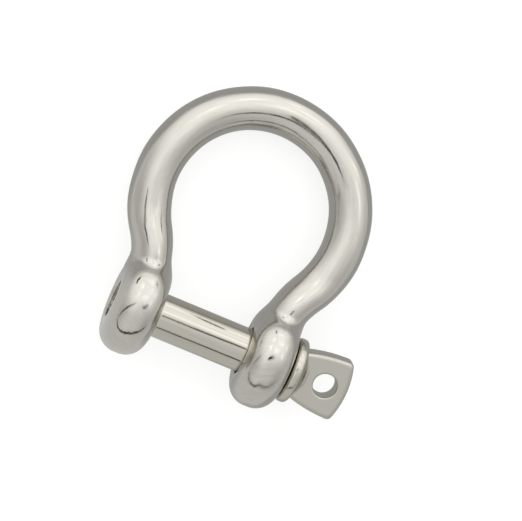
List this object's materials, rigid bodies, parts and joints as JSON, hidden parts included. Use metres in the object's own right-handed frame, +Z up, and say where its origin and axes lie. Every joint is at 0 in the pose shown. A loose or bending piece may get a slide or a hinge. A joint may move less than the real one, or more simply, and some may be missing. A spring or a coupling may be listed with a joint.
{
  "type": "bow shackle",
  "caption": "Stainless steel bow shackle: a round-bar bow with two rounded ears, closed by a screw pin with a collar and a flat eye tab.",
  "frame": {"origin": "on the surface that the shackle lies on, under the middle of the box around the whole shackle", "axes": "+X along the pin, from the threaded ear to the eye tab; +Y from the pin towards the crown of the bow; +Z up, out of the surface"},
  "size_m": [0.0628, 0.067, 0.0224],
  "materials": {
    "polished_steel": "cast stainless steel, tumbled and polished bright",
    "turned_steel": "stainless steel, turned and polished shank, tumbled satin tab"
  },
  "bodies": {
    "bow": {"cast_bow": "polished_steel"},
    "pin": {"screw_pin": "turned_steel"}
  },
  "joints": [
    {"name": "pin_slide", "type": "slide", "parent": "bow", "child": "pin", "axis": [1, 0, 0], "range_m": [0, 0.046]}
  ]
}
